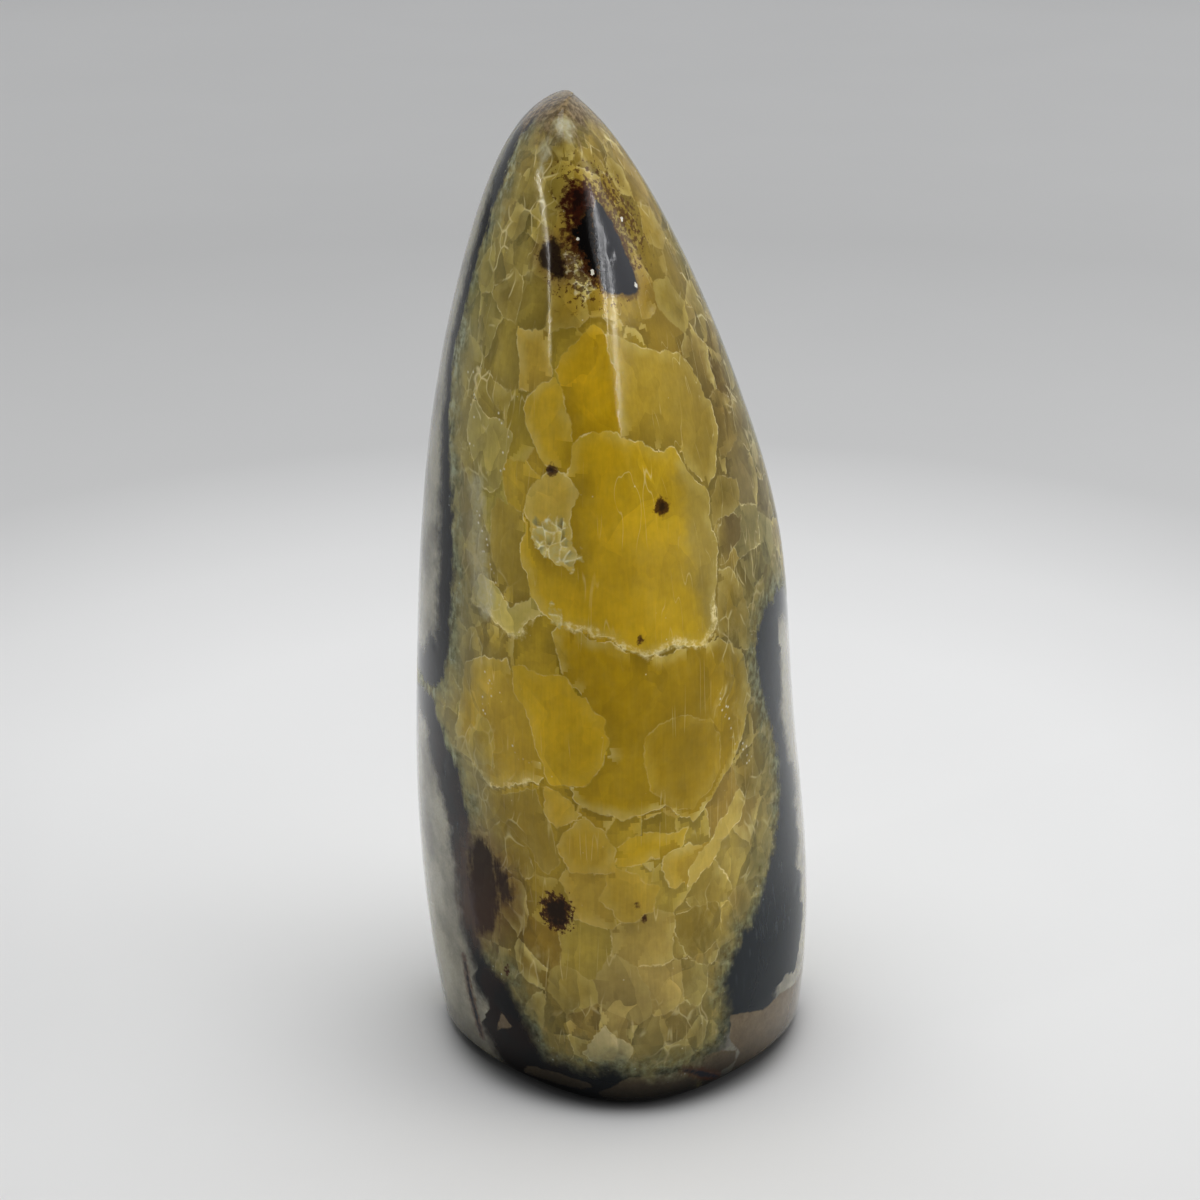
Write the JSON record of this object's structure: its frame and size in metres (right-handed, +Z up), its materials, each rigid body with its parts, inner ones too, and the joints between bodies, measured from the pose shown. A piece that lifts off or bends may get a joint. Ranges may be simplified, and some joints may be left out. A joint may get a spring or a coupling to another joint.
{
  "type": "septarian nodule",
  "caption": "Polished septarian stone cut as a leaning free-standing point, with a wide yellow calcite window between dark rims and grey-brown matrix.",
  "frame": {"origin": "on the flat base, under the middle of the stone's own box", "axes": "+Z up, from the flat base to the tip; -Y the front, where the wide calcite window is; +X to the right of someone looking at the front"},
  "size_m": [0.0616, 0.0606, 0.15],
  "materials": {
    "polished_stone": "polished"
  },
  "bodies": {
    "root": {"nodule": "polished_stone"}
  },
  "joints": []
}
